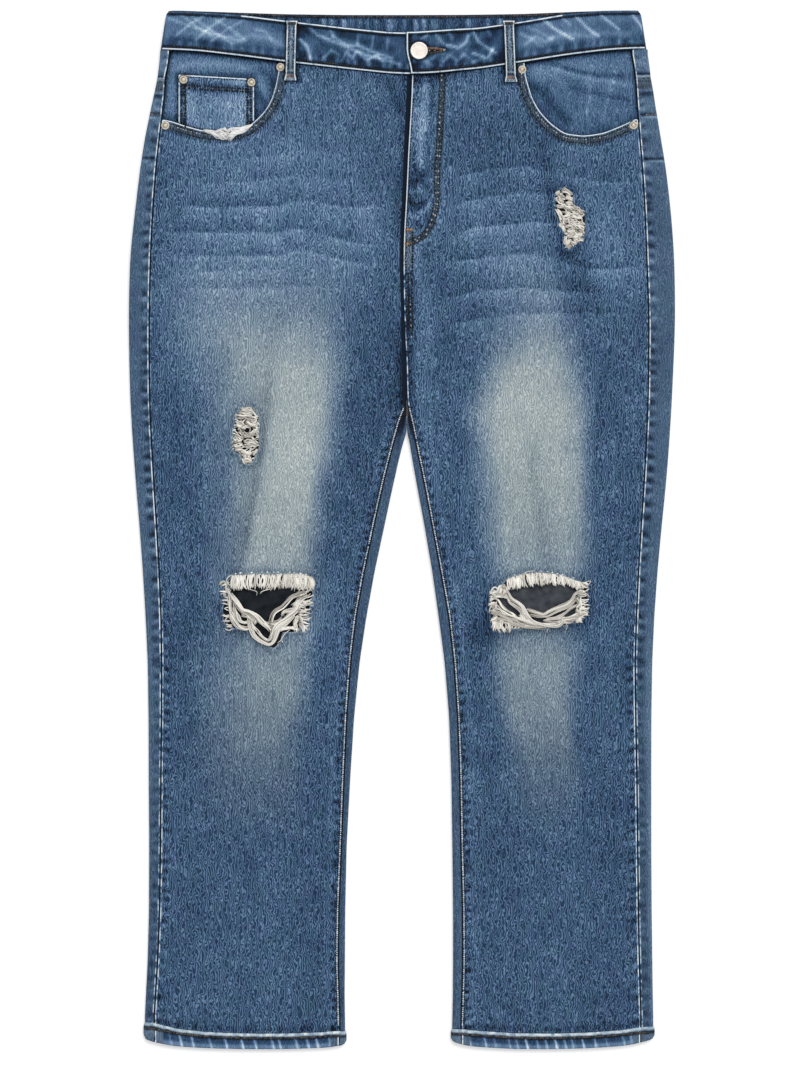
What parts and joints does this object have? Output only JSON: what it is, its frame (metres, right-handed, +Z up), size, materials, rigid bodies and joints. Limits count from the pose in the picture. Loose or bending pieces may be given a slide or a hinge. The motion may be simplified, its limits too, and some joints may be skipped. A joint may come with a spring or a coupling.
{
  "type": "ripped jeans",
  "caption": "Ripped straight-leg denim jeans laid flat with the front up, with a plain shank button, belt loops, pockets and frayed knee, thigh and hip rips.",
  "frame": {"origin": "centre of the garment's bounding box in plan, on the surface it lies on", "axes": "+Y along the legs towards the waist, +X towards the wearer's left, +Z up out of the front"},
  "size_m": [0.5451, 1.0362, 0.0136],
  "materials": {
    "denim": "stone-washed blue twill, faded cream on thighs and knees",
    "denim_band": "several plies of washed denim, abraded pale along folded edges",
    "cotton_threads": "undyed cotton weft yarn",
    "plain_metal": "pale copper-tinted nickel, worn satin",
    "zip_metal": "dull brass chain on cotton tape"
  },
  "bodies": {
    "root": {"front_leg_right": "denim", "front_leg_left": "denim", "back_leg_right": "denim", "back_leg_left": "denim", "yoke_right": "denim", "yoke_left": "denim", "waistband": "denim_band", "hem_right": "denim_band", "hem_left": "denim_band", "pocket_facing_right": "denim", "pocket_facing_left": "denim", "coin_pocket": "denim", "back_pocket_right": "denim", "back_pocket_left": "denim", "belt_loop_front_right": "denim_band", "belt_loop_front_left": "denim_band", "belt_loop_back_right": "denim_band", "belt_loop_back_centre": "denim_band", "belt_loop_back_left": "denim_band", "zip": "zip_metal", "button": "plain_metal", "rivet_pocket_right_inner": "plain_metal", "rivet_pocket_right_outer": "plain_metal", "rivet_coin_outer": "plain_metal", "rivet_coin_inner": "plain_metal", "rivet_pocket_left_inner": "plain_metal", "rivet_pocket_left_outer": "plain_metal", "threads_knee_right": "cotton_threads", "threads_knee_left": "cotton_threads", "threads_thigh_right": "cotton_threads", "threads_hip_left": "cotton_threads"}
  },
  "joints": []
}
